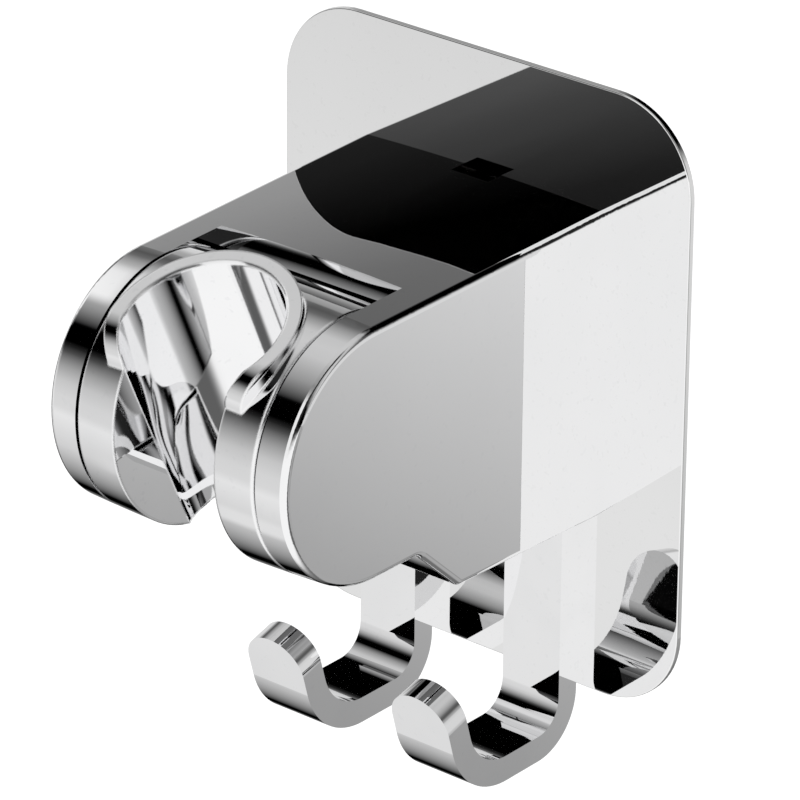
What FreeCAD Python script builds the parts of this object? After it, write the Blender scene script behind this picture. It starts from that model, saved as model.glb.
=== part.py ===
import FreeCAD, Part
import math
import os

# Wall holder for a hand shower, in millimetres.
# The wall is the plane y = 0, +Y goes into it, +Z is up, and x = 0 is the plane of symmetry.
# z = 0 is the middle of the wall plate. Depths named "out" are counted from the plate's front.

# Wall plate and adhesive pad
plate_width = 72.0
plate_height = 92.0
plate_thickness = 0.9
plate_corner_radius = 13.0
plate_edge_round = 0.2
pad_thickness = 1.0
pad_margin = 3.0

# Shell: outer form
shell_half_width = 21.7
shell_wall = 2.0
side_draft_deg = 0.62
top_draft_deg = 1.09
underside_draft_deg = 1.5
crown_height = 0.5
edge_round = 1.0
pivot_out = 47.8
pivot_height = 8.5
head_radius = 18.95
step_front_out = 38.4
step_back_out = 30.3
step_drop = 7.4
step_inner_round = 3.0
step_corner_round = 1.2

# Shell: pocket for the cradle, and release notch
pocket_back_out = 36.4
pocket_lean_deg = 14.0
pocket_foot_out = 40.4
pocket_wall = 1.8
ear_gap = 0.35
drum_gap = 0.35
notch_width = 6.6
notch_depth = 2.9
stop_rib_width = 2.5
stop_rib_inset = 4.5

# Cradle
cradle_half_length = 15.6
seam_round = 0.35
socket_tilt_deg = 24.0
socket_rim_out = 59.2
socket_rim_height = 25.1
socket_radius = 11.75
socket_taper_deg = 0.45
socket_wall = 2.3
socket_rim_chamfer = 0.35
collar_depth = 14.0
slot_width = 17.9
lip_cut = 7.8
lip_round = 5.5

# Pivot: pins, bushes and friction rings
pin_diameter = 5.0
pin_head_diameter = 9.0
pin_head_thickness = 1.1
pin_end_gap = 0.1
pin_tip_chamfer = 0.3
running_fit = 0.04
bush_diameter = 7.0
bush_flange_diameter = 9.0
bush_flange_thickness = 0.8
bush_length = 3.1
ring_inner_radius = 6.6
ring_width = 2.0
ring_seat_depth = 0.7
ring_seat_clearance = 0.1
ring_edge_round = 0.2

# Tilt stops
tilt_back_deg = 10.0
tilt_forward_deg = 40.0
stop_radius = 11.0
stop_peg_diameter = 2.4
stop_peg_reach = 1.3
stop_clearance = 0.25

# Ear plates and their screws
ear_plate_radius = 16.4
ear_plate_thickness = 2.0
ear_plate_fit = 0.03
ear_ledge = 1.2
ear_screw_circle = 13.9
ear_screw_angles = (90.0, 210.0, 330.0)
ear_screw_diameter = 1.6
ear_screw_head_diameter = 2.8
ear_screw_head_thickness = 0.7
ear_screw_length = 3.3
ear_screw_sink = 0.05
ear_screw_clearance = 0.1
ear_screw_cross = 1.6
ear_screw_cross_width = 0.4
ear_screw_cross_depth = 0.3
ear_boss_diameter = 4.4

# Mount bracket and the rails of the shell
bracket_base_width = 26.0
bracket_flange_width = 33.0
bracket_base_depth = 4.2
bracket_flange_depth = 3.0
bracket_bottom = -1.0
bracket_top = 19.5
bracket_lead_round = 1.2
bracket_wall = 2.0
bracket_spine_width = 7.2
bracket_rib_width = 1.2
bracket_boss_wall = 1.8
rail_clearance = 0.2

# Hooks
hook_spacing = 26.6
hook_width = 10.2
hook_thickness = 4.0
hook_top = -3.0
hook_bottom = -55.2
hook_back_radius = 8.4
hook_front_radius = 12.6
hook_front_out = 15.6
hook_lip_lean_deg = 16.0
hook_lip_length = 8.5
hook_clearance = 0.2

# Low-head screws through the plate
screw_diameter = 2.5
screw_head_diameter = 5.2
screw_head_thickness = 0.8
screw_reach = 3.0
screw_head_round = 0.3
screw_socket_radius = 1.5
screw_socket_depth = 0.5
screw_hole_clearance = 0.15
pad_hole_clearance = 0.5
bracket_screw_x = 8.0
bracket_screw_heights = (3.5, 15.0)
hook_screw_heights = (-6.5, -13.5)

# Catch spring on the bracket
catch_width = 5.4
catch_thickness = 0.5
catch_foot = 9.0
catch_rise = 3.6
catch_barb = 1.5
catch_bend_round = 0.4
catch_clearance = 0.2
catch_screw_diameter = 2.0
catch_screw_head_diameter = 3.8
catch_screw_head_thickness = 0.9
catch_screw_length = 4.0
catch_screw_dome = 0.45
catch_slot_width = 0.5
catch_slot_depth = 0.45
catch_bar_depth = 1.6
catch_bar_margin = 2.0

V = FreeCAD.Vector
reach = 200.0
over = 1.0
fine = 1e-4
plate_front = -pad_thickness - plate_thickness
pivot_y = plate_front - pivot_out
pivot_z = pivot_height
ear_inner = cradle_half_length + ear_gap
crown_radius = shell_half_width ** 2 / (2.0 * crown_height)
flange_front = plate_front - bracket_base_depth - bracket_flange_depth
PIVOT = V(0, pivot_y, pivot_z)


def tan_deg(angle):
    return math.tan(math.radians(angle))


def box(x0, x1, y0, y1, z0, z1):
    return Part.makeBox(x1 - x0, y1 - y0, z1 - z0, V(x0, y0, z0))


def outline_face(points, place):
    """Face inside a closed outline of two-number points, put in space by the function place."""
    corners = [place(a, b) for a, b in points]
    return Part.Face(Part.makePolygon(corners + [corners[0]]))


def prism_x(points, x0, x1):
    """Outline of (y, z) points, extruded along X."""
    return outline_face(points, lambda y, z: V(x0, y, z)).extrude(V(x1 - x0, 0, 0))


def prism_z(points, z0, z1):
    """Outline of (x, y) points, extruded along Z."""
    return outline_face(points, lambda x, y: V(x, y, z0)).extrude(V(0, 0, z1 - z0))


def rod_x(x0, x1, radius, y=pivot_y, z=pivot_z):
    """Round bar along X, about the pivot line unless another centre is given."""
    return Part.makeCylinder(radius, abs(x1 - x0), V(min(x0, x1), y, z), V(1, 0, 0))


def rod_y(y0, y1, radius, x, z):
    return Part.makeCylinder(radius, abs(y1 - y0), V(x, min(y0, y1), z), V(0, 1, 0))


def mirrored(shape):
    return shape.mirror(V(0, 0, 0), V(1, 0, 0))


def both_sides(shape):
    return shape.fuse(mirrored(shape))


def edges_where(shape, test):
    return [edge for edge in shape.Edges if test(edge)]


def rounded_sheet(width, height, corner, y0, y1):
    """Upright sheet with rounded corners, between the depths y0 and y1."""
    sheet = box(-width / 2, width / 2, y0, y1, -height / 2, height / 2)
    corners = edges_where(sheet, lambda e: abs(e.BoundBox.YLength - (y1 - y0)) < 1e-6)
    return sheet.makeFillet(corner, corners)


# The head and top of the body are crowned across X: the same shallow arc runs up the top and round the head.
def crown_face(radius, up):
    """Face from the pivot line to the crowned arc, standing in the direction up."""
    half = shell_half_width + over
    edge = radius - half ** 2 / (2.0 * crown_radius)
    left, right = V(-half, 0, 0), V(half, 0, 0)
    low_left, low_right = PIVOT + left, PIVOT + right
    top_left, top_right = low_left + up * edge, low_right + up * edge
    arc = Part.Arc(top_left, PIVOT + up * radius, top_right).toShape()
    sides = [Part.makeLine(low_left, top_left), arc, Part.makeLine(top_right, low_right)]
    return Part.Face(Part.Wire(sides + [Part.makeLine(low_right, low_left)]))


def head_barrel(radius):
    return crown_face(radius, V(0, 0, 1)).revolve(PIVOT, V(1, 0, 0), 360)


def body_form(inset):
    """The body's outer form, moved inwards by inset on every side but the back."""
    radius = head_radius - inset
    beyond = 5.0
    lean = math.radians(top_draft_deg)
    along_top = V(0, math.cos(lean), math.sin(lean))
    top = crown_face(radius, V(0, -math.sin(lean), math.cos(lean))).extrude(along_top * (pivot_out + beyond))
    step_front = plate_front - step_front_out
    step_back = plate_front - step_back_out
    floor = crown_face(radius, V(0, 0, -1)).extrude(V(0, step_back - pivot_y, 0))
    slope = step_drop / (step_back - step_front)
    head_floor = pivot_z - head_radius + inset * math.hypot(1.0, slope)
    rear_floor = pivot_z - head_radius - step_drop + inset
    corner = step_front + (head_floor - rear_floor) / slope
    end_floor = rear_floor - (plate_front + beyond - corner) * tan_deg(underside_draft_deg)
    start = step_front - beyond
    rear = prism_x([(start, head_floor + beyond * slope), (corner, rear_floor), (plate_front + beyond, end_floor),
                    (plate_front + beyond, pivot_z + beyond), (start, pivot_z + beyond)],
                   -shell_half_width - over, shell_half_width + over)
    form = top.fuse([floor, rear, head_barrel(radius)]).removeSplitter()
    if inset == 0.0:
        form = rounded_underside(form, (step_front + step_back) / 2, corner)
    front = pivot_y - head_radius - beyond
    front_half = shell_half_width - inset - (plate_front - front) * tan_deg(side_draft_deg)
    back_half = shell_half_width - inset + beyond * tan_deg(side_draft_deg)
    wedge = prism_z([(-front_half, front), (front_half, front), (back_half, plate_front + beyond),
                     (-back_half, plate_front + beyond)], -reach, reach)
    return form.common(wedge)


def rounded_underside(form, step_middle, corner):
    """Round the two bends of the underside, the hollow one behind the head and the one at its foot."""
    edge_limit = 3 * crown_height
    hollow_bend = edges_where(form, lambda e: e.BoundBox.ZMax < pivot_z - head_radius + edge_limit and
                              e.BoundBox.XLength > shell_half_width and
                              pivot_y + over < e.BoundBox.YMin and e.BoundBox.YMax < step_middle)
    form = form.makeFillet(step_inner_round, hollow_bend)
    foot_bend = edges_where(form, lambda e: abs(e.BoundBox.YMin - corner) < fine and e.BoundBox.YLength < fine)
    return form.makeFillet(step_corner_round, foot_bend)


def side_rims(form):
    """Edges where the body's side faces meet its top, head and underside."""
    return edges_where(form, lambda e: abs(e.CenterOfMass.x) > ear_inner and
                       e.BoundBox.XLength < 2.0 and e.BoundBox.YMin < plate_front)


def pocket():
    """Space for the cradle: open in front, above and below, with a round back wall and a leaning top edge."""
    room = ear_inner
    round_room = rod_x(-room, room, head_radius + drum_gap)
    front_room = box(-room, room, pivot_y - 2 * head_radius, pivot_y, pivot_z - 2 * head_radius,
                     pivot_z + 2 * head_radius)
    back = plate_front - pocket_back_out
    top = pivot_z + head_radius + over
    lean = (top - pivot_z) * tan_deg(pocket_lean_deg)
    throat = prism_x([(pivot_y, pivot_z), (back - lean, pivot_z), (back, top), (pivot_y, top)], -room, room)
    foot_back = plate_front - pocket_foot_out
    throat_below = box(-room, room, pivot_y, foot_back, pivot_z - head_radius - over, pivot_z)
    outside_drum = throat.fuse(throat_below).cut(rod_x(-room - over, room + over, head_radius))
    return round_room.fuse([front_room, outside_drum])


def cavity():
    """Hollow behind the pocket, open at the back."""
    front = plate_front - pocket_back_out + pocket_wall
    behind = box(-reach, reach, front, reach, -reach, reach)
    return body_form(shell_wall).common(behind).cut(rod_x(-reach, reach, head_radius + drum_gap + pocket_wall))


def ear_hollow():
    """Right ear's hollow: a seat for the ear plate, a ledge behind it and three screw bosses."""
    outer_face = shell_half_width - pivot_out * tan_deg(side_draft_deg) - shell_wall
    seat = rod_x(ear_inner, ear_inner + ear_plate_thickness, ear_plate_radius + ear_plate_fit)
    room = rod_x(ear_inner, outer_face, ear_plate_radius - ear_ledge)
    bosses = [rod_x(ear_inner + ear_plate_thickness, outer_face + over, ear_boss_diameter / 2, y, z)
              for y, z in ear_screw_places()]
    hollow = seat.fuse(room.cut(bosses[0].fuse(bosses[1:])))
    holes = [rod_x(ear_inner, ear_screw_end(), ear_screw_diameter / 2, y, z) for y, z in ear_screw_places()]
    return hollow.fuse(holes)


def ear_screw_places():
    turns = [math.radians(a) for a in ear_screw_angles]
    return [(pivot_y + ear_screw_circle * math.cos(t), pivot_z + ear_screw_circle * math.sin(t)) for t in turns]


def ear_screw_end():
    return ear_inner + ear_screw_length


def rail_room():
    """Back depth and front depth of the shell's rails, which hook behind the bracket's flanges."""
    return plate_front - rail_clearance, plate_front - bracket_base_depth + rail_clearance


def shell_inside():
    """Rails, stop ribs and catch bar inside the shell."""
    back, front = rail_room()
    side = shell_half_width - shell_wall
    rail = box(bracket_base_width / 2 + rail_clearance, side + over, front, back, bracket_bottom + over,
               bracket_top)
    top = pivot_z + head_radius
    rib_edge = bracket_flange_width / 2 - stop_rib_inset
    stop = box(rib_edge - stop_rib_width, rib_edge, flange_front, back, bracket_top, top)
    bar_back = catch_face() - catch_clearance
    bar_half = notch_width / 2 + catch_bar_margin
    bar = box(-bar_half, bar_half, bar_back - catch_bar_depth, bar_back, catch_top() + catch_clearance, top)
    return both_sides(rail).fuse([both_sides(stop), bar])


def stem_room():
    """Gaps in the underside wall that the hook stems pass through."""
    half = hook_width / 2 + hook_clearance
    gap = box(hook_spacing / 2 - half, hook_spacing / 2 + half, plate_front - hook_thickness - hook_clearance,
              plate_front + over, pivot_z - head_radius - step_drop - step_drop, hook_top)
    return both_sides(gap)


def notch():
    top = pivot_z + head_radius + pivot_out * tan_deg(top_draft_deg)
    return box(-notch_width / 2, notch_width / 2, plate_front - notch_depth, plate_front + over,
               top - 2 * shell_wall, top + over)


def body_shell():
    outer = body_form(0.0)
    outer = outer.makeFillet(edge_round, side_rims(outer))
    hollow = cavity().cut(shell_inside())
    ears = both_sides(ear_hollow())
    behind_plate = box(-reach, reach, plate_front, reach, -reach, reach)
    return outer.cut([behind_plate, hollow, pocket(), ears, stem_room(), notch()])


def catch_top():
    return bracket_top + catch_rise


def catch_face():
    """Depth of the spring's front face."""
    return flange_front - catch_thickness


def plate_screw_places():
    """Centres (x, z) of the screws in the bracket and in the hooks."""
    bracket = [(x, z) for x in (-bracket_screw_x, bracket_screw_x) for z in bracket_screw_heights]
    hooks = [(x, z) for x in (-hook_spacing / 2, hook_spacing / 2) for z in hook_screw_heights]
    return bracket, hooks


def wall_plate():
    plate = rounded_sheet(plate_width, plate_height, plate_corner_radius, plate_front, -pad_thickness)
    rims = edges_where(plate, lambda e: e.BoundBox.YMax < plate_front + fine)
    plate = plate.makeFillet(plate_edge_round, rims)
    bracket, hooks = plate_screw_places()
    radius = screw_diameter / 2 + screw_hole_clearance
    return plate.cut([rod_y(plate_front - over, 0, radius, x, z) for x, z in bracket + hooks])


def adhesive_pad():
    pad = rounded_sheet(plate_width - 2 * pad_margin, plate_height - 2 * pad_margin,
                        plate_corner_radius - pad_margin, -pad_thickness, 0)
    bracket, hooks = plate_screw_places()
    radius = screw_head_diameter / 2 + pad_hole_clearance
    return pad.cut([rod_y(-pad_thickness - over, over, radius, x, z) for x, z in bracket + hooks])


def plate_screws(places):
    """Low-head screws, heads behind the plate and shanks pointing out of the wall."""
    screws = []
    for x, z in places:
        head = rod_y(-pad_thickness, -pad_thickness + screw_head_thickness, screw_head_diameter / 2, x, z)
        rim = edges_where(head, lambda e: e.BoundBox.YMin > -pad_thickness + screw_head_thickness - fine)
        head = head.makeFillet(screw_head_round, rim)
        head = head.cut(hex_socket(x, z))
        shank = rod_y(plate_front - screw_reach, -pad_thickness, screw_diameter / 2, x, z)
        screws.append(head.fuse(shank).removeSplitter())
    return Part.makeCompound(screws)


def hex_socket(x, z):
    turns = [math.radians(60 * k) for k in range(6)]
    corners = [(x + screw_socket_radius * math.cos(t), z + screw_socket_radius * math.sin(t)) for t in turns]
    floor = -pad_thickness + screw_head_thickness - screw_socket_depth
    return outline_face(corners, lambda a, b: V(a, floor, b)).extrude(V(0, screw_socket_depth + over, 0))


def mount_bracket():
    """Moulded block with a narrow base and a wider flange, cored out in front."""
    base = box(-bracket_base_width / 2, bracket_base_width / 2, plate_front - bracket_base_depth, plate_front,
               bracket_bottom, bracket_top)
    flange = box(-bracket_flange_width / 2, bracket_flange_width / 2, flange_front,
                 plate_front - bracket_base_depth, bracket_bottom, bracket_top)
    block = base.fuse(flange).removeSplitter()
    tall = bracket_top - bracket_bottom
    lead_in = edges_where(block, lambda e: abs(e.BoundBox.ZLength - tall) < fine and
                          e.BoundBox.YMax < flange_front + fine)
    block = block.makeFillet(bracket_lead_round, lead_in)
    core = bracket_core()
    bracket, _ = plate_screw_places()
    holes = [rod_y(plate_front - screw_reach, plate_front + over, screw_diameter / 2, x, z) for x, z in bracket]
    catch_hole = rod_y(flange_front - over, catch_screw_end(), catch_screw_diameter / 2, 0, catch_screw_height())
    return block.cut([core, mirrored(core), catch_hole] + holes)


def bracket_core():
    """Right half's coring, around two screw bosses and the rib between them."""
    front = flange_front - over
    core = box(bracket_spine_width / 2, bracket_base_width / 2 - bracket_wall, front, plate_front - bracket_wall,
               bracket_bottom + bracket_wall, bracket_top - bracket_wall)
    boss_radius = screw_diameter / 2 + bracket_boss_wall
    bosses = [rod_y(front, plate_front, boss_radius, bracket_screw_x, z) for z in bracket_screw_heights]
    middle = sum(bracket_screw_heights) / len(bracket_screw_heights)
    rib = box(0, bracket_base_width / 2, front, plate_front, middle - bracket_rib_width / 2,
              middle + bracket_rib_width / 2)
    return core.cut(bosses + [rib])


def catch_screw_height():
    return bracket_top - catch_foot / 2


def catch_screw_end():
    return catch_face() + catch_screw_length


def catch_spring():
    """Leaf spring: flat foot on the bracket, a tongue that rises past it and a barb bent over the bar."""
    half = catch_width / 2
    face = catch_face()
    foot = box(-half, half, face, flange_front, bracket_top - catch_foot, catch_top())
    barb = box(-half, half, face - catch_barb, face, catch_top() - catch_thickness, catch_top())
    spring = foot.fuse(barb).removeSplitter()
    corner = edges_where(spring, lambda e: abs(e.BoundBox.YMin - flange_front) < fine and
                         e.BoundBox.ZMin > catch_top() - fine)
    spring = spring.makeFillet(catch_bend_round, corner)
    hole = rod_y(face - over, flange_front + over, catch_screw_diameter / 2 + screw_hole_clearance, 0,
                 catch_screw_height())
    return spring.cut(hole)


def catch_screw():
    face = catch_face()
    top = face - catch_screw_head_thickness
    height = catch_screw_height()
    head = rod_y(top, face, catch_screw_head_diameter / 2, 0, height)
    dome = edges_where(head, lambda e: e.BoundBox.YMax < top + fine)
    head = head.makeFillet(catch_screw_dome, dome)
    shank = rod_y(face, catch_screw_end(), catch_screw_diameter / 2, 0, height)
    slot = box(-reach, reach, top - over, top + catch_slot_depth, height - catch_slot_width / 2,
               height + catch_slot_width / 2)
    return head.fuse(shank).removeSplitter().cut(slot)


def hook_outline():
    """Side outline of the hook as edges: stem, back bend, flat run, front bend and leaning lip."""
    face = plate_front
    bottom = hook_bottom
    lean = math.radians(hook_lip_lean_deg)
    out = V(0, -math.cos(lean), -math.sin(lean))
    up = V(0, -math.sin(lean), math.cos(lean))
    back_centre = V(0, face - hook_back_radius, bottom + hook_back_radius)
    front_centre = V(0, face - hook_front_out, bottom + hook_front_radius)

    def arc(centre, radius, start, end):
        middle = start + end
        middle.normalize()
        return Part.Arc(centre + start * radius, centre + middle * radius, centre + end * radius).toShape()

    def line(a, b):
        return Part.makeLine(a, b)

    down, back = V(0, 0, -1), V(0, 1, 0)
    inner_back = hook_back_radius - hook_thickness
    inner_front = hook_front_radius - hook_thickness
    lip = up * hook_lip_length
    outer_top, inner_top = V(0, face, hook_top), V(0, face - hook_thickness, hook_top)
    edges = [line(outer_top, back_centre + back * hook_back_radius),
             arc(back_centre, hook_back_radius, back, down),
             line(back_centre + down * hook_back_radius, front_centre + down * hook_front_radius),
             arc(front_centre, hook_front_radius, down, out),
             line(front_centre + out * hook_front_radius, front_centre + out * hook_front_radius + lip),
             line(front_centre + out * hook_front_radius + lip, front_centre + out * inner_front + lip),
             line(front_centre + out * inner_front + lip, front_centre + out * inner_front),
             arc(front_centre, inner_front, out, down),
             line(front_centre + down * inner_front, back_centre + down * inner_back),
             arc(back_centre, inner_back, down, back),
             line(back_centre + back * inner_back, inner_top),
             line(inner_top, outer_top)]
    return edges, front_centre, out, up


def right_hook():
    edges, front_centre, out, up = hook_outline()
    half = hook_width / 2
    hook = Part.Face(Part.Wire(edges)).extrude(V(hook_width, 0, 0))
    hook.translate(V(hook_spacing / 2 - half, 0, 0))
    tip_middle = front_centre + up * (hook_lip_length - half) + V(hook_spacing / 2, 0, 0)
    side = V(half + over, 0, 0)
    base = tip_middle + out * (hook_front_radius - hook_thickness - over)
    rise = up * (half + over)
    corners = [base - side, base + side, base + side + rise, base - side + rise]
    block = Part.Face(Part.makePolygon(corners + [corners[0]])).extrude(out * (hook_thickness + 2 * over))
    disc = Part.makeCylinder(half, hook_thickness + 4 * over, base - out * over, out)
    hook = hook.cut(block.cut(disc))
    _, places = plate_screw_places()
    holes = [rod_y(plate_front - screw_reach, plate_front + over, screw_diameter / 2, x, z)
             for x, z in places if x > 0]
    return hook.cut(holes)


def socket_axis():
    """Rim centre, the direction down the socket, and the direction to its back."""
    tilt = math.radians(socket_tilt_deg)
    rim = V(0, plate_front - socket_rim_out, socket_rim_height)
    return rim, V(0, math.sin(tilt), -math.cos(tilt)), V(0, math.cos(tilt), math.sin(tilt))


def socket_prism(points, half):
    """Outline of (towards the back, down the socket) points, extruded to both sides."""
    rim, down, rear = socket_axis()
    face = outline_face(points, lambda a, b: rim + rear * a + down * b + V(-half, 0, 0))
    return face.extrude(V(2 * half, 0, 0))


def cradle():
    """Drum with a C-shaped socket, open to the front for the hose."""
    length = cradle_half_length
    drum = head_barrel(head_radius).common(box(-length, length, -reach, reach, -reach, reach))
    ends = edges_where(drum, lambda e: abs(abs(e.BoundBox.XMin) - length) < fine and e.BoundBox.XLength < fine)
    drum = drum.makeFillet(seam_round, ends)
    rim, down, _ = socket_axis()
    outer = socket_radius + socket_wall
    collar = Part.makeCylinder(outer, collar_depth, rim, down)
    collar = collar.cut(lip_shape(outer))
    body = drum.fuse(collar).removeSplitter()
    deep = 3 * head_radius
    narrowing = deep * tan_deg(socket_taper_deg)
    bore = Part.makeCone(socket_radius, socket_radius - narrowing, deep, rim, down)
    above = Part.makeCylinder(socket_radius, head_radius, rim, down * -1)
    slot = socket_prism([(0, -head_radius), (-deep, -head_radius), (-deep, deep), (0, deep)], slot_width / 2)
    body = body.cut([bore, above, slot, rim_relief()])
    for side in (-1, 1):
        body = body.cut(bush_seat(side)).cut(stop_groove(side))
    return body


def rim_relief():
    """Cone that takes the sharp inner edge off the socket's rim."""
    rim, down, _ = socket_axis()
    wide = socket_radius + socket_rim_chamfer
    return Part.makeCone(wide + over, 0, wide + over, rim - down * over, down)


def lip_shape(outer):
    """What is cut from the front of the collar, so that both lips round down to the drum."""
    beyond = 2 * outer
    centre_a, centre_b = -lip_cut + lip_round, lip_round
    rim, down, rear = socket_axis()

    def at(a, b):
        return rim + rear * a + down * b + V(-beyond, 0, 0)

    bend = math.sqrt(0.5) * lip_round
    arc = Part.Arc(at(centre_a, 0), at(centre_a - bend, centre_b - bend), at(-lip_cut, centre_b)).toShape()
    edges = [arc, Part.makeLine(at(-lip_cut, centre_b), at(-lip_cut, beyond)),
             Part.makeLine(at(-lip_cut, beyond), at(-beyond, beyond)),
             Part.makeLine(at(-beyond, beyond), at(-beyond, -over)),
             Part.makeLine(at(-beyond, -over), at(centre_a, -over)),
             Part.makeLine(at(centre_a, -over), at(centre_a, 0))]
    return Part.Face(Part.Wire(edges)).extrude(V(2 * beyond, 0, 0))


def bush_seat(side):
    end = cradle_half_length
    sleeve = rod_x(side * (end - bush_length), side * (end + over), bush_diameter / 2)
    flange = rod_x(side * (end - bush_flange_thickness), side * (end + over), bush_flange_diameter / 2)
    return sleeve.fuse(flange)


def stop_groove(side):
    """Arc groove for the stop peg, as long as the tilt range."""
    spare = math.degrees(math.asin((stop_peg_diameter / 2 + stop_clearance) / stop_radius))
    half = stop_peg_diameter / 2 + stop_clearance
    end = cradle_half_length
    x0, x1 = side * (end - stop_peg_reach - stop_clearance), side * (end + over)
    corners = [V(x0, pivot_y, pivot_z - stop_radius - half), V(x1, pivot_y, pivot_z - stop_radius - half),
               V(x1, pivot_y, pivot_z - stop_radius + half), V(x0, pivot_y, pivot_z - stop_radius + half)]
    face = Part.Face(Part.makePolygon(corners + [corners[0]]))
    face.rotate(PIVOT, V(1, 0, 0), tilt_back_deg + spare)
    return face.revolve(PIVOT, V(-1, 0, 0), tilt_back_deg + tilt_forward_deg + 2 * spare)


def right_ear_plate():
    """Inner cheek of the ear: pin hole, ring seat, screw holes and the stop peg."""
    x0, x1 = ear_inner, ear_inner + ear_plate_thickness
    plate = rod_x(x0, x1, ear_plate_radius)
    outer = ring_inner_radius + ring_width + ring_seat_clearance
    seat = rod_x(x0 - over, x0 + ring_seat_depth, outer).cut(
        rod_x(x0 - 2 * over, x1, ring_inner_radius - ring_seat_clearance))
    pin_hole = rod_x(x0 - over, x1 + over, pin_diameter / 2 + running_fit)
    plate = plate.cut([seat, pin_hole])
    for y, z in ear_screw_places():
        through = rod_x(x0 - over, x1 + over, (ear_screw_diameter + ear_screw_clearance) / 2, y, z)
        head_room = rod_x(x0 - over, x0 + ear_screw_sink + ear_screw_head_thickness,
                          ear_screw_head_diameter / 2 + ear_screw_clearance, y, z)
        plate = plate.cut([through, head_room])
    peg = rod_x(cradle_half_length - stop_peg_reach, x1, stop_peg_diameter / 2, pivot_y, pivot_z - stop_radius)
    return plate.fuse(peg).removeSplitter()


def right_ear_screws():
    screws = []
    x0 = ear_inner + ear_screw_sink
    long, short = ear_screw_cross / 2, ear_screw_cross_width / 2
    for y, z in ear_screw_places():
        head = rod_x(x0, x0 + ear_screw_head_thickness, ear_screw_head_diameter / 2, y, z)
        shank = rod_x(x0, ear_screw_end() - ear_screw_clearance, ear_screw_diameter / 2, y, z)
        cross = [box(x0 - over, x0 + ear_screw_cross_depth, y - a, y + a, z - b, z + b)
                 for a, b in ((long, short), (short, long))]
        screws.append(head.fuse(shank).removeSplitter().cut(cross))
    return Part.makeCompound(screws)


def right_pivot_pin():
    head_side = ear_inner + ear_plate_thickness
    end = cradle_half_length - bush_length + pin_end_gap
    head = rod_x(head_side, head_side + pin_head_thickness, pin_head_diameter / 2)
    shank = rod_x(end, head_side, pin_diameter / 2)
    tip = edges_where(shank, lambda e: e.BoundBox.XMax < end + fine)
    shank = shank.makeChamfer(pin_tip_chamfer, tip)
    return head.fuse(shank).removeSplitter()


def right_pivot_bush():
    end = cradle_half_length
    sleeve = rod_x(end - bush_length, end, bush_diameter / 2)
    flange = rod_x(end - bush_flange_thickness, end, bush_flange_diameter / 2)
    hole = rod_x(end - bush_length - over, end + over, pin_diameter / 2 + running_fit)
    return sleeve.fuse(flange).removeSplitter().cut(hole)


def right_friction_ring():
    x0, x1 = cradle_half_length, ear_inner + ring_seat_depth
    ring = rod_x(x0, x1, ring_inner_radius + ring_width).cut(rod_x(x0 - over, x1 + over, ring_inner_radius))
    rims = edges_where(ring, lambda e: e.BoundBox.XMax < x0 + fine)
    return ring.makeFillet(ring_edge_round, rims)


def save(name, shape):
    shape.exportStep("parts/" + name + ".step")


def save_pair(name, right_shape):
    save("right_" + name, right_shape)
    save("left_" + name, mirrored(right_shape))


os.makedirs("parts", exist_ok=True)
bracket_places, hook_places = plate_screw_places()
save("wall_plate", wall_plate())
save("adhesive_pad", adhesive_pad())
save("mount_bracket", mount_bracket())
save("bracket_screws", plate_screws(bracket_places))
save("hook_screws", plate_screws(hook_places))
save("catch_spring", catch_spring())
save("catch_screw", catch_screw())
save("body_shell", body_shell())
save("cradle", cradle())
save_pair("hook", right_hook())
save_pair("ear_plate", right_ear_plate())
save_pair("ear_screws", right_ear_screws())
save_pair("pivot_pin", right_pivot_pin())
save_pair("pivot_bush", right_pivot_bush())
save_pair("friction_ring", right_friction_ring())
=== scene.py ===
import math

import bpy
from mathutils import Matrix, Vector

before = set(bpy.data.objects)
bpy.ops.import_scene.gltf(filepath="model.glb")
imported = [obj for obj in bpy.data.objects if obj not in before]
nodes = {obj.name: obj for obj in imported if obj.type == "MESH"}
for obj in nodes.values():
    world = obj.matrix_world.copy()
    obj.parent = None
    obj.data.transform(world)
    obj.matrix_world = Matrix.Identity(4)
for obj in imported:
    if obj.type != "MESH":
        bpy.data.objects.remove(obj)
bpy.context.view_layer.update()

white = (1, 1, 1, 1)
fullTurn = 360.0


# Camera, at the photograph's angle and distance
photoCamera = {
    "azimuth": 39.612,       # degrees round from the front, towards +X
    "elevation": 25.274,     # degrees above the horizon
    "roll": 0.4553,          # degrees
    "distance": 0.81511,     # from the target, in metres
    "target": (-0.00725, -0.01076, -0.00614),
    "lens": 260.2,           # millimetres, as the sensor
    "sensor": 36.0,
    "clip": (0.01, 50),
}


def makeCamera(values):
    azimuth, elevation, roll = (math.radians(values[key]) for key in ("azimuth", "elevation", "roll"))
    right = Vector((math.cos(azimuth), math.sin(azimuth), 0))
    back = Vector((math.sin(azimuth) * math.cos(elevation), -math.cos(azimuth) * math.cos(elevation),
                   math.sin(elevation)))
    up = back.cross(right)
    rolledRight = right * math.cos(roll) + up * math.sin(roll)
    rolledUp = up * math.cos(roll) - right * math.sin(roll)
    lens = bpy.data.cameras.new("photoCamera")
    lens.lens = values["lens"]
    lens.sensor_width = values["sensor"]
    lens.clip_start, lens.clip_end = values["clip"]
    camera = bpy.data.objects.new("photoCamera", lens)
    bpy.context.scene.collection.objects.link(camera)
    turn = Matrix((rolledRight, rolledUp, back)).transposed()
    place = Vector(values["target"]) + back * values["distance"]
    camera.matrix_world = Matrix.Translation(place) @ turn.to_4x4()
    bpy.context.scene.camera = camera


makeCamera(photoCamera)
print("camera set")


# Node helpers
def newTree(name):
    material = bpy.data.materials.new(name)
    material.use_nodes = True
    tree = material.node_tree
    tree.nodes.clear()
    return material, tree


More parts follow.
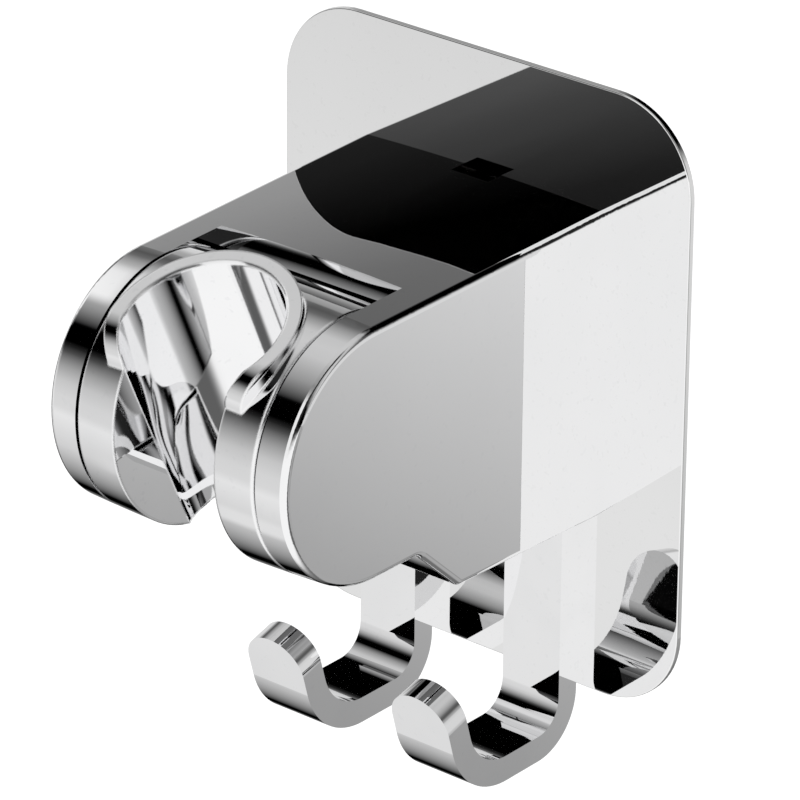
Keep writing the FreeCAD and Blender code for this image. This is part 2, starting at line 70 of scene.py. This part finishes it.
def addNode(tree, kind, inputs=None, **settings):
    # Settings come first, because they decide which inputs a node has
    node = tree.nodes.new(kind)
    for key, value in settings.items():
        setattr(node, key, value)
    for key, value in (inputs or {}).items():
        if isinstance(value, bpy.types.NodeSocket):
            tree.links.new(value, node.inputs[key])
        else:
            node.inputs[key].default_value = value
    return node


def mathNode(tree, operation, *values, clamp=False):
    inputs = dict(enumerate(values))
    return addNode(tree, "ShaderNodeMath", inputs, operation=operation, use_clamp=clamp).outputs[0]


def vectorNode(tree, operation, *values):
    return addNode(tree, "ShaderNodeVectorMath", dict(enumerate(values)), operation=operation).outputs


def objectPlace(tree):
    return addNode(tree, "ShaderNodeTexCoord").outputs["Object"]


def noiseValue(tree, place, scale, detail):
    return addNode(tree, "ShaderNodeTexNoise", {"Vector": place, "Scale": scale, "Detail": detail}).outputs[0]


def spread(tree, value, fromRange, toRange=(0.0, 1.0), kind="LINEAR"):
    inputs = {"Value": value, "From Min": fromRange[0], "From Max": fromRange[1],
              "To Min": toRange[0], "To Max": toRange[1]}
    return addNode(tree, "ShaderNodeMapRange", inputs, interpolation_type=kind).outputs["Result"]


def fade(tree, value, fromRange, toRange=(0.0, 1.0)):
    return spread(tree, value, fromRange, toRange, "SMOOTHSTEP")


def blendColor(tree, share, first, second):
    mix = addNode(tree, "ShaderNodeMix", {0: share}, data_type="RGBA")
    for socket, value in zip([s for s in mix.inputs if s.type == "RGBA"], (first, second)):
        if isinstance(value, bpy.types.NodeSocket):
            tree.links.new(value, socket)
        else:
            socket.default_value = (*value, 1)
    return [s for s in mix.outputs if s.type == "RGBA"][0]


def mixShaders(tree, share, first, second):
    return addNode(tree, "ShaderNodeMixShader", {0: share, 1: first, 2: second}).outputs[0]


def newGroup(name, inputs, outputs):
    group = bpy.data.node_groups.new(name, "ShaderNodeTree")
    for key, value in inputs.items():
        socket = group.interface.new_socket(key, in_out="INPUT", socket_type="NodeSocketFloat")
        socket.default_value = value
    for key in outputs:
        group.interface.new_socket(key, in_out="OUTPUT", socket_type="NodeSocketFloat")
    return group, addNode(group, "NodeGroupInput").outputs, addNode(group, "NodeGroupOutput").inputs


def useGroup(tree, group, values):
    return addNode(tree, "ShaderNodeGroup", values, node_tree=group).outputs


# Shared effects, each a group that gives masks or heights
def makePolishHaze():
    # Broad faint clouds and fine specks that a polished or plated face keeps
    inputs = {"Cloud Scale": 45.0, "Speck Scale": 900.0, "Amount": 1.0}
    group, given, out = newGroup("polishHaze", inputs, ["Mask"])
    place = objectPlace(group)
    clouds = fade(group, noiseValue(group, place, given["Cloud Scale"], 3.0), (0.42, 0.72), (0.0, 0.7))
    specks = fade(group, noiseValue(group, place, given["Speck Scale"], 1.0), (0.66, 0.74))
    total = mathNode(group, "ADD", clouds, specks, clamp=True)
    group.links.new(mathNode(group, "MULTIPLY", total, given["Amount"]), out["Mask"])
    return group


def makePlatingSkin():
    # Long low waves of a plated moulding, with a trace of orange peel over them
    inputs = {"Wave Scale": 28.0, "Peel Scale": 420.0, "Peel Share": 0.06}
    group, given, out = newGroup("platingSkin", inputs, ["Height"])
    place = objectPlace(group)
    waves = noiseValue(group, place, given["Wave Scale"], 1.0)
    peel = noiseValue(group, place, given["Peel Scale"], 1.0)
    peel = mathNode(group, "MULTIPLY", peel, given["Peel Share"])
    group.links.new(mathNode(group, "ADD", waves, peel), out["Height"])
    return group


def makeEdgeWearAndSheen():
    # One along sharp outer edges, broken up by noise, and nought on flat faces. On plastics it paints a
    # highlight along the edges, on steel it marks wear
    inputs = {"Width": 0.0003, "Break Up": 0.5, "Grit Scale": 700.0}
    group, given, out = newGroup("edgeWearAndSheen", inputs, ["Mask"])
    rounded = addNode(group, "ShaderNodeBevel", {"Radius": given["Width"]}, samples=4).outputs["Normal"]
    plain = addNode(group, "ShaderNodeNewGeometry").outputs["Normal"]
    along = vectorNode(group, "DOT_PRODUCT", rounded, plain)["Value"]
    turned = fade(group, along, (0.999, 0.93))
    grit = noiseValue(group, objectPlace(group), given["Grit Scale"], 3.0)
    held = mathNode(group, "SUBTRACT", 1.0, mathNode(group, "MULTIPLY", grit, given["Break Up"]))
    group.links.new(mathNode(group, "MULTIPLY", turned, held), out["Mask"])
    return group


def makeMouldGrain():
    # Fine spark-eroded grain of a moulded face, with faint flow clouds
    inputs = {"Grain Scale": 4500.0, "Flow Scale": 90.0}
    group, given, out = newGroup("mouldGrain", inputs, ["Height", "Flow"])
    place = objectPlace(group)
    group.links.new(noiseValue(group, place, given["Grain Scale"], 3.0), out["Height"])
    flow = noiseValue(group, place, given["Flow Scale"], 3.0)
    group.links.new(fade(group, flow, (0.3, 0.7)), out["Flow"])
    return group


def makeToolLines():
    # Fine parallel lines from turning or rolling, drawn out along one or two axes
    inputs = {"Along X": 1.0, "Along Y": 1.0, "Along Z": 1.0, "Line Scale": 9000.0}
    group, given, out = newGroup("toolLines", inputs, ["Height", "Mask"])
    stretch = addNode(group, "ShaderNodeCombineXYZ", {axis: given["Along " + axis] for axis in "XYZ"})
    drawn = vectorNode(group, "MULTIPLY", objectPlace(group), stretch.outputs[0])["Vector"]
    lines = noiseValue(group, drawn, given["Line Scale"], 2.0)
    group.links.new(lines, out["Height"])
    group.links.new(spread(group, lines, (0.35, 0.7)), out["Mask"])
    return group


def makeFoamCells():
    # Open cells of foam tape: a height for the walls and a mask of the pits between them, which the foam
    # paints dark as shade
    group, given, out = newGroup("foamCells", {"Cell Scale": 2600.0}, ["Height", "Pit"])
    where = {"Vector": objectPlace(group), "Scale": given["Cell Scale"]}
    cells = addNode(group, "ShaderNodeTexVoronoi", where, feature="DISTANCE_TO_EDGE").outputs["Distance"]
    group.links.new(fade(group, cells, (0.0, 0.35), (1.0, 0.0)), out["Height"])
    group.links.new(fade(group, cells, (0.1, 0.4)), out["Pit"])
    return group


polishHaze = makePolishHaze()
platingSkin = makePlatingSkin()
edgeWearAndSheen = makeEdgeWearAndSheen()
mouldGrain = makeMouldGrain()
toolLines = makeToolLines()
foamCells = makeFoamCells()
print("shared effects made")


def roughBetween(tree, mask, values, other):
    return spread(tree, mask, (0.0, 1.0), (values["roughness"], values[other]))


def finishMaterial(tree, color, rough, metallic, height, bump, edgeRound=0.0):
    # Bump is its strength and its depth in metres, and edgeRound softens small edges by that radius
    surface = addNode(tree, "ShaderNodeBump", {"Height": height, "Strength": bump[0], "Distance": bump[1]})
    if edgeRound:
        soft = addNode(tree, "ShaderNodeBevel", {"Radius": edgeRound}, samples=6)
        tree.links.new(soft.outputs["Normal"], surface.inputs["Normal"])
    normal = surface.outputs["Normal"]
    inputs = {"Base Color": color, "Metallic": metallic, "Roughness": rough, "Normal": normal}
    shader = addNode(tree, "ShaderNodeBsdfPrincipled", inputs)
    addNode(tree, "ShaderNodeOutputMaterial", {"Surface": shader.outputs[0]})


def wear(material, *names):
    for name in names:
        slots = nodes[name].data.materials
        slots.clear()
        slots.append(material)


# Bright chrome, on moulded plastic for the shell and the cradle and on a bent bar for each hook
shellChrome = {
    "color": (0.93, 0.93, 0.935), "hazeColor": (0.86, 0.865, 0.875),
    "roughness": 0.012, "hazeRoughness": 0.05,
    "cloudScale": 40.0, "speckScale": 800.0, "hazeAmount": 0.3,
    "waveScale": 26.0, "peelShare": 0.05, "waveBump": (0.5, 0.00003), "edgeRound": 0.0,
}
cradleChrome = {
    "color": (0.93, 0.93, 0.935), "hazeColor": (0.85, 0.855, 0.865),
    "roughness": 0.012, "hazeRoughness": 0.055,
    "cloudScale": 60.0, "speckScale": 950.0, "hazeAmount": 0.55,
    "waveScale": 40.0, "peelShare": 0.06, "waveBump": (0.5, 0.000025), "edgeRound": 0.0005,
}
hookChrome = {
    "color": (0.92, 0.92, 0.925), "hazeColor": (0.84, 0.845, 0.85),
    "roughness": 0.014, "hazeRoughness": 0.06,
    "cloudScale": 90.0, "speckScale": 1100.0, "hazeAmount": 0.4,
    "waveScale": 60.0, "peelShare": 0.05, "waveBump": (0.5, 0.00002), "edgeRound": 0.0,
}


def hazedSurface(tree, values):
    haze = useGroup(tree, polishHaze, {
        "Cloud Scale": values["cloudScale"],
        "Speck Scale": values["speckScale"],
        "Amount": values["hazeAmount"],
    })["Mask"]
    color = blendColor(tree, haze, values["color"], values["hazeColor"])
    return color, roughBetween(tree, haze, values, "hazeRoughness")


def makePlatedChrome(name, values):
    material, tree = newTree(name)
    color, rough = hazedSurface(tree, values)
    skin = useGroup(tree, platingSkin, {"Wave Scale": values["waveScale"], "Peel Share": values["peelShare"]})
    finishMaterial(tree, color, rough, 1.0, skin["Height"], values["waveBump"], values["edgeRound"])
    return material


wear(makePlatedChrome("shellChrome", shellChrome), "body_shell")
wear(makePlatedChrome("cradleChrome", cradleChrome), "cradle")
wear(makePlatedChrome("hookChrome", hookChrome), "left_hook", "right_hook")


# Mirror-polished stainless sheet, for the wall plate
plateSteel = {
    "color": (0.90, 0.90, 0.90), "hazeColor": (0.82, 0.82, 0.815),
    "roughness": 0.01, "hazeRoughness": 0.07,
    "cloudScale": 22.0, "speckScale": 1300.0, "hazeAmount": 0.3,
    "lines": {"Along Z": 0.01, "Line Scale": 2600.0}, "lineBump": (0.12, 0.000003),
}


def makePlateSteel(values):
    material, tree = newTree("plateSteel")
    color, rough = hazedSurface(tree, values)
    lines = useGroup(tree, toolLines, values["lines"])
    finishMaterial(tree, color, rough, 1.0, lines["Height"], values["lineBump"])
    return material


wear(makePlateSteel(plateSteel), "wall_plate")


# Moulded plastics: black inner cheeks, grey bracket, natural acetal bushes, each with a painted highlight
# along its edges
cheekPlastic = {
    "color": (0.018, 0.018, 0.02), "flowColor": (0.03, 0.03, 0.032), "edgeWearAndSheenColor": (0.09, 0.09, 0.092),
    "roughness": 0.42, "flowRoughness": 0.52, "edgeWidth": 0.00025, "edgeShare": 0.6,
    "grainScale": 5000.0, "flowScale": 90.0, "grainBump": (0.35, 0.00004),
}
bracketPlastic = {
    "color": (0.26, 0.265, 0.27), "flowColor": (0.31, 0.315, 0.32), "edgeWearAndSheenColor": (0.42, 0.425, 0.43),
    "roughness": 0.45, "flowRoughness": 0.56, "edgeWidth": 0.00025, "edgeShare": 0.6,
    "grainScale": 4200.0, "flowScale": 90.0, "grainBump": (0.4, 0.00005),
}
bushPlastic = {
    "color": (0.74, 0.72, 0.66), "flowColor": (0.80, 0.78, 0.73), "edgeWearAndSheenColor": (0.86, 0.85, 0.81),
    "roughness": 0.28, "flowRoughness": 0.36, "edgeWidth": 0.00025, "edgeShare": 0.6,
    "grainScale": 6500.0, "flowScale": 90.0, "grainBump": (0.15, 0.00002),
}


def makeMouldedPlastic(name, values):
    material, tree = newTree(name)
    scales = {"Grain Scale": values["grainScale"], "Flow Scale": values["flowScale"]}
    grain = useGroup(tree, mouldGrain, scales)
    edge = useGroup(tree, edgeWearAndSheen, {"Width": values["edgeWidth"]})["Mask"]
    edge = mathNode(tree, "MULTIPLY", edge, values["edgeShare"])
    color = blendColor(tree, grain["Flow"], values["color"], values["flowColor"])
    # Painted highlight: the plastic's edges are lightened as a sheen
    color = blendColor(tree, edge, color, values["edgeWearAndSheenColor"])
    rough = roughBetween(tree, grain["Flow"], values, "flowRoughness")
    finishMaterial(tree, color, rough, 0.0, grain["Height"], values["grainBump"])
    return material


wear(makeMouldedPlastic("cheekPlastic", cheekPlastic), "left_ear_plate", "right_ear_plate")
wear(makeMouldedPlastic("bracketPlastic", bracketPlastic), "mount_bracket")
wear(makeMouldedPlastic("bushPlastic", bushPlastic), "left_pivot_bush", "right_pivot_bush")


# Turned and rolled steel: screws, pivot pins and the catch spring
screwSteel = {
    "color": (0.60, 0.60, 0.585), "lineColor": (0.50, 0.50, 0.485), "edgeWearAndSheenColor": (0.75, 0.75, 0.74),
    "roughness": 0.24, "lineRoughness": 0.36, "edgeWidth": 0.0002, "edgeBreakUp": 0.3, "edgeShare": 0.7,
    "lines": {"Along X": 0.02, "Along Z": 0.02, "Line Scale": 5200.0}, "lineBump": (0.3, 0.00002),
}
pinSteel = {
    "color": (0.64, 0.64, 0.65), "lineColor": (0.53, 0.53, 0.54), "edgeWearAndSheenColor": (0.78, 0.78, 0.79),
    "roughness": 0.18, "lineRoughness": 0.3, "edgeWidth": 0.0002, "edgeBreakUp": 0.3, "edgeShare": 0.7,
    "lines": {"Along Y": 0.02, "Along Z": 0.02, "Line Scale": 6000.0}, "lineBump": (0.3, 0.00002),
}
springSteel = {
    "color": (0.66, 0.66, 0.65), "lineColor": (0.56, 0.56, 0.55), "edgeWearAndSheenColor": (0.80, 0.80, 0.79),
    "roughness": 0.2, "lineRoughness": 0.32, "edgeWidth": 0.0002, "edgeBreakUp": 0.3, "edgeShare": 0.7,
    "lines": {"Along Y": 0.3, "Along Z": 0.02, "Line Scale": 7000.0}, "lineBump": (0.25, 0.000015),
}


def makeWorkedSteel(name, values):
    material, tree = newTree(name)
    lines = useGroup(tree, toolLines, values["lines"])
    edge = useGroup(tree, edgeWearAndSheen, {"Width": values["edgeWidth"], "Break Up": values["edgeBreakUp"]})["Mask"]
    edge = mathNode(tree, "MULTIPLY", edge, values["edgeShare"])
    color = blendColor(tree, lines["Mask"], values["color"], values["lineColor"])
    color = blendColor(tree, edge, color, values["edgeWearAndSheenColor"])
    rough = roughBetween(tree, lines["Mask"], values, "lineRoughness")
    finishMaterial(tree, color, rough, 1.0, lines["Height"], values["lineBump"])
    return material


wear(makeWorkedSteel("screwSteel", screwSteel), "bracket_screws", "hook_screws", "catch_screw")
wear(makeWorkedSteel("pinSteel", pinSteel),
     "left_pivot_pin", "right_pivot_pin", "left_ear_screws", "right_ear_screws")
wear(makeWorkedSteel("springSteel", springSteel), "catch_spring")


# Foam tape behind the plate
padFoam = {
    "wallColor": (0.062, 0.063, 0.066), "pitShadeColor": (0.022, 0.022, 0.024),
    "roughness": 0.82, "pitRoughness": 0.95, "cellScale": 2400.0, "cellBump": (0.6, 0.0001),
}


def makePadFoam(values):
    material, tree = newTree("padFoam")
    cells = useGroup(tree, foamCells, {"Cell Scale": values["cellScale"]})
    # Painted shade: the pits of the cells are coloured darker than the pale walls
    color = blendColor(tree, cells["Pit"], values["wallColor"], values["pitShadeColor"])
    rough = roughBetween(tree, cells["Pit"], values, "pitRoughness")
    finishMaterial(tree, color, rough, 0.0, cells["Height"], values["cellBump"])
    return material


wear(makePadFoam(padFoam), "adhesive_pad")


# Black rubber friction rings
ringRubber = {
    "color": (0.012, 0.012, 0.012), "bloomColor": (0.035, 0.035, 0.036),
    "roughness": 0.5, "bloomRoughness": 0.68,
    "grainScale": 3200.0, "bloomScale": 160.0, "grainBump": (0.3, 0.00003),
}


def makeRingRubber(values):
    material, tree = newTree("ringRubber")
    scales = {"Grain Scale": values["grainScale"], "Flow Scale": values["bloomScale"]}
    grain = useGroup(tree, mouldGrain, scales)
    color = blendColor(tree, grain["Flow"], values["color"], values["bloomColor"])
    rough = roughBetween(tree, grain["Flow"], values, "bloomRoughness")
    finishMaterial(tree, color, rough, 0.0, grain["Height"], values["grainBump"])
    return material


wear(makeRingRubber(ringRubber), "left_friction_ring", "right_friction_ring")
print("materials placed")


# Studio round the holder, which the chrome mirrors: soft light that changes with the angle from +Y over the
# top, and panels and flags that stand in parts of it
studio = {
    "cameraWhite": 1.0,          # the background that the camera sees
    "roomLight": 0.72,           # what plain, unpolished surfaces are lit by
    "strips": [                  # angle in degrees, brightness
        (0, 0.72), (14, 0.66), (21, 0.42), (28, 0.33), (34, 0.15), (39, 0.09), (46, 0.14), (54, 0.33),
        (66, 0.58), (78, 0.62), (90, 0.59), (112, 0.33), (131, 0.0), (148, 0.0), (152, 0.015), (157, 0.07),
        (170, 0.37), (182, 0.60), (195, 0.71), (205, 0.73), (212, 0.84), (242, 0.67), (270, 0.31), (292, 0.0),
        (303, 0.0), (324, 0.36), (331, 0.72),
    ],
    "panels": {                  # angles and sideways reach, each with its soft edge, and the brightness
        "overhead": {
            "angles": (66, 104), "edge": 7, "side": (-1.2, -0.66), "sideEdge": 0.02, "light": 0.94,
        },
        "frontWindow": {
            "angles": (124, 172), "edge": 9, "side": (-0.47, 0.24), "sideEdge": 0.05, "light": 0.88,
        },
        "frontTable": {
            "angles": (166, 264), "edge": 12, "side": (-0.46, 1.2), "sideEdge": 0.06, "light": 0.98,
        },
        "rearFlag": {
            "angles": (24, 55), "edge": 5, "side": (-0.40, 0.60), "sideEdge": 0.14, "light": 0.0,
        },
        "rightFlag": {
            "angles": (76, 158), "edge": 8, "side": (0.38, 0.66), "sideEdge": 0.08, "light": 0.02,
        },
        "rearPanel": {
            "angles": (286, 316), "edge": 6, "side": (0.2, 1.2), "sideEdge": 0.1, "light": 0.4,
        },
        "tipPanel": {
            "angles": (235, 249), "edge": 4, "side": (-0.625, -0.47), "sideEdge": 0.02, "light": 0.79,
        },
        "lowFlag": {
            "angles": (254, 292), "edge": 8, "side": (0.66, 1.2), "sideEdge": 0.06, "light": 0.12,
        },
    },
}


def softBand(tree, value, band, edge):
    # One inside the band, fading out over the edge on both sides of each end
    low, high = band
    enter = fade(tree, value, (low - edge, low + edge))
    leave = fade(tree, value, (high - edge, high + edge), (1.0, 0.0))
    return mathNode(tree, "MULTIPLY", enter, leave)


def studioLight(tree, values, place):
    # Brightness of the studio in the direction of place, seen from the holder
    way = vectorNode(tree, "NORMALIZE", place)["Vector"]
    parts = addNode(tree, "ShaderNodeSeparateXYZ", {"Vector": way}).outputs
    turn = mathNode(tree, "DIVIDE", mathNode(tree, "ARCTAN2", parts["Z"], parts["Y"]), 2 * math.pi)
    turn = mathNode(tree, "FRACT", mathNode(tree, "ADD", turn, 1.0))
    ramp = addNode(tree, "ShaderNodeValToRGB", {"Fac": turn})
    elements = ramp.color_ramp.elements
    while len(elements) < len(values["strips"]):
        elements.new(0.5)
    for element, (degrees, light) in zip(elements, values["strips"]):
        element.position = degrees / fullTurn
        element.color = (light, light, light, 1)
    angle = mathNode(tree, "MULTIPLY", turn, fullTurn)
    seen = ramp.outputs["Color"]
    for panel in values["panels"].values():
        along = softBand(tree, angle, panel["angles"], panel["edge"])
        across = softBand(tree, parts["X"], panel["side"], panel["sideEdge"])
        seen = blendColor(tree, mathNode(tree, "MULTIPLY", along, across), seen, (panel["light"],) * 3)
    return seen


def makeStudio(values):
    world = bpy.data.worlds.new("studio")
    world.use_nodes = True
    bpy.context.scene.world = world
    tree = world.node_tree
    tree.nodes.clear()
    path = addNode(tree, "ShaderNodeLightPath").outputs
    way = addNode(tree, "ShaderNodeTexCoord").outputs["Generated"]
    room = addNode(tree, "ShaderNodeBackground", {"Color": white, "Strength": values["roomLight"]})
    mirrored = addNode(tree, "ShaderNodeBackground", {"Color": studioLight(tree, values, way)})
    plain = addNode(tree, "ShaderNodeBackground", {"Color": white, "Strength": values["cameraWhite"]})
    seen = mixShaders(tree, path["Is Glossy Ray"], room.outputs[0], mirrored.outputs[0])
    bare = mathNode(tree, "MAXIMUM", path["Is Camera Ray"], path["Is Transmission Ray"])
    addNode(tree, "ShaderNodeOutputWorld", {"Surface": mixShaders(tree, bare, seen, plain.outputs[0])})


# Pale floor well below the holder, as under a fitting on a wall. Seen in the chrome it glows with the
# studio's bands of light and shade instead of its own colour
floor = {
    "height": -1.2,
    "halfSize": 9.0,
    "color": (0.80, 0.80, 0.80),
    "glow": 0.50,                # lifts it to white for the camera and leaves the shadow
}


def makeFloor(values, studioValues):
    half, height = values["halfSize"], values["height"]
    corners = [(-half, -half, height), (half, -half, height), (half, half, height), (-half, half, height)]
    mesh = bpy.data.meshes.new("floor")
    mesh.from_pydata(corners, [], [(0, 1, 2, 3)])
    ground = bpy.data.objects.new("floor", mesh)
    bpy.context.scene.collection.objects.link(ground)
    material, tree = newTree("floor")
    mesh.materials.append(material)
    path = addNode(tree, "ShaderNodeLightPath").outputs
    bare = mathNode(tree, "MAXIMUM", path["Is Camera Ray"], path["Is Transmission Ray"])
    matt = addNode(tree, "ShaderNodeBsdfDiffuse", {"Color": (*values["color"], 1)})
    strength = mathNode(tree, "MULTIPLY", bare, values["glow"])
    glow = addNode(tree, "ShaderNodeEmission", {"Color": white, "Strength": strength})
    lit = addNode(tree, "ShaderNodeAddShader", {0: matt.outputs[0], 1: glow.outputs[0]})
    # Painted light: for mirror rays the floor glows with the studio's bands, though it is no lamp
    studioGlow = studioLight(tree, studioValues, objectPlace(tree))
    mirrored = addNode(tree, "ShaderNodeEmission", {"Color": studioGlow})
    seen = mixShaders(tree, path["Is Glossy Ray"], lit.outputs[0], mirrored.outputs[0])
    addNode(tree, "ShaderNodeOutputMaterial", {"Surface": seen})


# One large soft lamp over the front, for the plain surfaces and the shadow
softLamp = {
    "place": (-0.7, -1.1, 1.5),
    "size": 1.4,
    "power": 26.0,
}


def makeLamp(values):
    light = bpy.data.lights.new("softLamp", "AREA")
    light.shape = "DISK"
    light.size = values["size"]
    light.energy = values["power"]
    lamp = bpy.data.objects.new("softLamp", light)
    bpy.context.scene.collection.objects.link(lamp)
    place = Vector(values["place"])
    lamp.matrix_world = Matrix.Translation(place) @ place.to_track_quat("Z", "Y").to_matrix().to_4x4()
    lamp.visible_glossy = False  # the chrome mirrors the studio instead
    lamp.visible_camera = False


makeStudio(studio)
makeFloor(floor, studio)
makeLamp(softLamp)
bpy.context.scene.view_settings.view_transform = "Standard"
print("studio, floor and lamp made")
